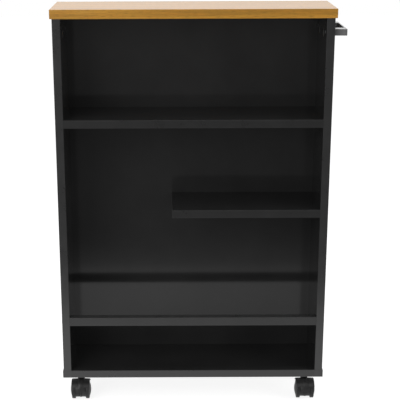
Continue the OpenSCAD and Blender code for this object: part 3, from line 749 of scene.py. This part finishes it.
class TROLLEY_OT_casters(bpy.types.Operator):
    """Make the casters' plates, pins, hoods and wheels"""

    bl_idname = "trolley.casters"
    bl_label = "Casters"

    def execute(self, context):
        settings = context.scene.trolley_casters
        for corner in CORNERS:
            axle_low, axle_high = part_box(corner + "_axle")
            axis = (axle_low + axle_high) / 2
            trailing = 1 if corner.startswith("rear") else -1
            fuller = self.fuller_hood(axis, settings.crown_swell)
            domed = self.domed_wheel(axis, settings.shoulder_draw, settings.hub_rise)
            eased(corner + "_plate", corner + "_plate_pressed", "cabinet", "zinc", width=0.2 * MM)
            dress(corner + "_kingpin", "zinc")
            dress(corner + "_axle", "zinc")
            eased(corner + "_hood", corner + "_hood_moulded", corner + "_swivel", "black_plastic",
                  width=settings.arris, reshape=fuller,
                  joined=lambda shape: self.hood_wings(shape, axis, trailing))
            for side in ("outer", "inner"):
                eased(f"{corner}_{side}_wheel", f"{corner}_{side}_wheel_moulded",
                      f"{corner}_{side}_roller", "black_plastic", width=0.2 * MM, reshape=domed)
        return {"FINISHED"}

    def fuller_hood(self, axis, swell):
        """Swells the hood's shell towards its crown, so that it comes up close under the board"""
        # The swell grows over this rise above the axle, outside the wheels and below the collar,
        # and a point right on the middle plane stays where it is
        start, growth, inside, collar = 4 * MM, 14 * MM, 18.5 * MM, 43 * MM

        def moved(co):
            out = Vector((0.0, co.y - axis.y, co.z - axis.z))
            share = min(1.0, max(0.0, (co.z - axis.z - start) / growth))
            if out.length > inside and co.z < collar and co.x != axis.x:
                return co + out.normalized() * share * swell
            return co
        return moved

    def wing_outline(self):
        """One wing's section, in millimetres across from the middle and out from the axle"""
        reach_in, reach_out, under, edge = 7.0, 19.4, 20.8, 0.7
        crown, shoulder, crown_steps, edge_steps = 22.5, 22.0, 8, 4
        outline = []
        for step in range(crown_steps + 1):
            across = reach_in + (reach_out - edge - reach_in) * step / crown_steps
            fall = (crown - shoulder) * ((across - reach_in) / (reach_out - reach_in)) ** 2
            outline.append((across, crown - fall))
        for step in range(1, edge_steps + 1):
            turn = math.radians(90.0 * step / edge_steps)
            outline.append((
                reach_out - edge + edge * math.sin(turn), shoulder - edge + edge * math.cos(turn)))
        return outline + [(reach_out, under), (reach_in, under)]

    def hood_wings(self, shape, axis, trailing):
        """Adds the hood's two wings, which arch over the treads close to the wheels"""
        # Degrees up from the level on the side that the wheels trail to
        first, sweep, steps = 32.0, 112.0, 32
        outline = self.wing_outline()
        count = len(outline)
        for side in (-1, 1):
            rings = []
            for step in range(steps + 1):
                angle = math.radians(first + sweep * step / steps)
                rings.append([
                    shape.verts.new((
                        axis.x + side * across * MM,
                        axis.y + trailing * math.cos(angle) * radius * MM,
                        axis.z + math.sin(angle) * radius * MM))
                    for across, radius in outline])
            faces = [shape.faces.new(rings[0]), shape.faces.new(rings[-1])]
            for ring, following in zip(rings, rings[1:]):
                for i in range(count):
                    j = (i + 1) % count
                    face = shape.faces.new((ring[i], ring[j], following[j], following[i]))
                    face.smooth = i < count - 3
                    faces.append(face)
            bmesh.ops.recalc_face_normals(shape, faces=faces)
            # The wing's long corners and both its ends are sharp
            for ring, following in zip(rings, rings[1:]):
                for i in (0, count - 3, count - 2, count - 1):
                    shape.edges.get((ring[i], following[i])).smooth = False
            for ring in (rings[0], rings[-1]):
                for i in range(count):
                    shape.edges.get((ring[i], ring[(i + 1) % count])).smooth = False

    def domed_wheel(self, axis, draw, rise):
        """Draws the tread's outer shoulder in and raises the hub's dome"""
        # Distances out from the hood's middle along the axle, and the hub's radius
        hub, hub_from, hub_face, lowered_face = 16.6 * MM, 18.9 * MM, 19 * MM, 18.2 * MM
        tread_from, tread_w = 11 * MM, 8 * MM

        def moved(co):
            along = co.x - axis.x
            side = 1.0 if along > 0 else -1.0
            along = abs(along)
            radius = math.hypot(co.y - axis.y, co.z - axis.z)
            if radius < hub and along > hub_from:
                along = lowered_face + (along - hub_face) * rise
            elif along > tread_from:
                along -= draw * (along - tread_from) / tread_w
            return Vector((axis.x + side * along, co.y, co.z))
        return moved


class TROLLEY_OT_stage(bpy.types.Operator):
    """Set the floor, the lamps, the background and the camera"""

    bl_idname = "trolley.stage"
    bl_label = "Stage"

    def execute(self, context):
        settings = context.scene.trolley_stage
        self.floor()
        self.lamps(settings)
        self.background(settings)
        self.camera(settings)
        context.scene.view_settings.view_transform = "Standard"
        return {"FINISHED"}

    def floor(self):
        """A level floor, wide enough to stand behind the trolley from every side"""
        mesh = bpy.data.meshes.new("floor")
        cuts = 8
        shape = bmesh.new()
        bmesh.ops.create_grid(shape, x_segments=cuts, y_segments=cuts, size=FLOOR_HALF)
        shape.to_mesh(mesh)
        shape.free()
        made = bpy.data.objects.new("floor", mesh)
        bpy.context.scene.collection.objects.link(made)
        mesh.materials.append(self.floor_finish())

    def floor_finish(self):
        """Pale paper that keeps the shadow; only the gloss sees it dimmer further to the front"""
        material = bpy.data.materials.new("pale_floor")
        material.use_nodes = True
        made = Nodes(material.node_tree)
        path = made.node("ShaderNodeLightPath").outputs
        place = made.parts(made.node("ShaderNodeTexCoord").outputs["Object"])
        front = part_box("front_rail")[0].y
        # Metres in front of the trolley, and how bright the gloss sees the floor there
        levels = ((0.0, 0.73), (0.46, 0.78), (0.6, 0.29), (0.82, 0.14), (3.6, 0.14), (6.6, 0.22))
        fall = made.ramp(
            made.span(place["Y"], 0.0, 1.0, front, front - FLOOR_HALF),
            [(distance / FLOOR_HALF, (level, level, level)) for distance, level in levels])
        # It is a little brighter on the left
        left, right, reach = 1.06, 0.88, 0.3
        mirrored = made.maths("MULTIPLY", fall, made.span(place["X"], left, right, -reach, reach))
        paper_glow, paper_level = 0.84, 0.42
        seen = made.maths("MULTIPLY", path["Is Camera Ray"], paper_glow)
        glow = made.node("ShaderNodeEmission")
        made.link(made.mix_level(path["Is Glossy Ray"], seen, mirrored), glow.inputs["Strength"])
        paper = made.node("ShaderNodeBsdfDiffuse")
        tone = made.mix(path["Is Glossy Ray"], (paper_level,) * 3, (0.0, 0.0, 0.0))
        made.link(tone, paper.inputs["Color"])
        both = made.node("ShaderNodeAddShader")
        made.link(glow.outputs[0], both.inputs[0])
        made.link(paper.outputs[0], both.inputs[1])
        made.link(both.outputs[0], made.node("ShaderNodeOutputMaterial").inputs["Surface"])
        return material

    def lamps(self, settings):
        """Soft square lamps, given by their place, their side and their share of the power"""
        target = Vector((0.0, 0.0, 0.4))
        for name, place, size, share in (
                ("key", (-2.0, -2.6, 1.6), 2.0, 0.94), ("fill", (2.5, -1.0, 1.4), 1.6, 0.55),
                ("overhead", (-0.2, 0.2, 2.6), 1.8, 0.5), ("low_front", (-0.9, -2.4, 0.5), 1.2, 0.06)):
            lamp = bpy.data.lights.new(name, "AREA")
            lamp.shape = "SQUARE"
            lamp.size = size
            lamp.energy = settings.lamp_power * share
            made = bpy.data.objects.new(name, lamp)
            made.location = place
            made.rotation_mode = "QUATERNION"
            made.rotation_quaternion = (target - Vector(place)).to_track_quat("-Z", "Y")
            made.visible_camera = False
            made.visible_glossy = name == "key"
            bpy.context.scene.collection.objects.link(made)

    def background(self, settings):
        """A room that is white to the camera, graded to the gloss and of one level to all else"""
        world = bpy.data.worlds.new("studio")
        bpy.context.scene.world = world
        world.use_nodes = True
        made = Nodes(world.node_tree)
        path = made.node("ShaderNodeLightPath").outputs
        seen = path["Is Camera Ray"]
        for name in ("Is Glossy Ray", "Is Transmission Ray"):
            seen = made.maths("MAXIMUM", seen, path[name])
        # The gloss sees a white room behind and beside the trolley, and a dim one at the camera's side
        facing = made.parts(made.node("ShaderNodeTexCoord").outputs["Generated"])
        dimmest, front, beside = 0.13, -0.85, -0.25
        dim = made.span(facing["Y"], dimmest, 1.0, front, beside)
        bright = made.maths("MAXIMUM", path["Is Camera Ray"], dim)
        sky = made.node("ShaderNodeBackground")
        sky.inputs["Color"].default_value = (1.0, 1.0, 1.0, 1.0)
        made.link(made.mix_level(seen, settings.sky, bright), sky.inputs["Strength"])
        made.link(sky.outputs[0], made.node("ShaderNodeOutputWorld").inputs["Surface"])

    def camera(self, settings):
        """The camera stands left of the cabinet's middle, in front of it and a little above the top"""
        tilt, roll_angle, shift = 16.32, 0.217, 0.0678
        aside, away, height = 0.041, 2.0615, 1.051
        data = bpy.data.cameras.new("camera")
        data.lens = settings.lens
        data.sensor_width = 36.0
        data.shift_x = shift
        data.clip_start, data.clip_end = 0.05, 60.0
        made = bpy.data.objects.new("camera", data)
        made.rotation_mode = "QUATERNION"
        pitch = Quaternion((1.0, 0.0, 0.0), math.radians(90.0 - tilt))
        roll = Quaternion((0.0, 0.0, 1.0), math.radians(-roll_angle))
        made.rotation_quaternion = pitch @ roll
        middle_x = sum(corner[0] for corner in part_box("back_panel")) / 2
        made.location = (middle_x - aside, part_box("cabinet_edge_bands")[0].y - away, height)
        bpy.context.scene.collection.objects.link(made)
        bpy.context.scene.camera = made


class TROLLEY_PT_panel(bpy.types.Panel):
    """Lists the trolley's steps and their settings"""

    bl_label = "Storage trolley"
    bl_idname = "TROLLEY_PT_panel"
    bl_space_type = "VIEW_3D"
    bl_region_type = "UI"
    bl_category = "Trolley"

    def draw(self, context):
        for operator in OPERATORS:
            self.layout.operator(operator.bl_idname)
        for group, _ in SETTINGS:
            box = self.layout.box()
            settings = getattr(context.scene, group)
            for name in settings.bl_rna.properties.keys():
                if name not in ("rna_type", "name"):
                    box.prop(settings, name)


SETTINGS = (
    ("trolley_boards", TrolleyBoardSettings),
    ("trolley_fasteners", TrolleyFastenerSettings),
    ("trolley_casters", TrolleyCasterSettings),
    ("trolley_stage", TrolleyStageSettings),
)
OPERATORS = (
    TROLLEY_OT_boards, TROLLEY_OT_fittings, TROLLEY_OT_handle, TROLLEY_OT_casters, TROLLEY_OT_stage)


def register():
    for name, group in SETTINGS:
        bpy.utils.register_class(group)
        setattr(bpy.types.Scene, name, PointerProperty(type=group))
    for operator in OPERATORS:
        bpy.utils.register_class(operator)
    bpy.utils.register_class(TROLLEY_PT_panel)


def unregister():
    bpy.utils.unregister_class(TROLLEY_PT_panel)
    for operator in reversed(OPERATORS):
        bpy.utils.unregister_class(operator)
    for name, group in reversed(SETTINGS):
        delattr(bpy.types.Scene, name)
        bpy.utils.unregister_class(group)


def main():
    register()
    bpy.ops.trolley.boards()
    bpy.ops.trolley.fittings()
    bpy.ops.trolley.handle()
    bpy.ops.trolley.casters()
    bpy.ops.trolley.stage()
    bpy.context.view_layer.update()


if __name__ == "__main__":
    main()
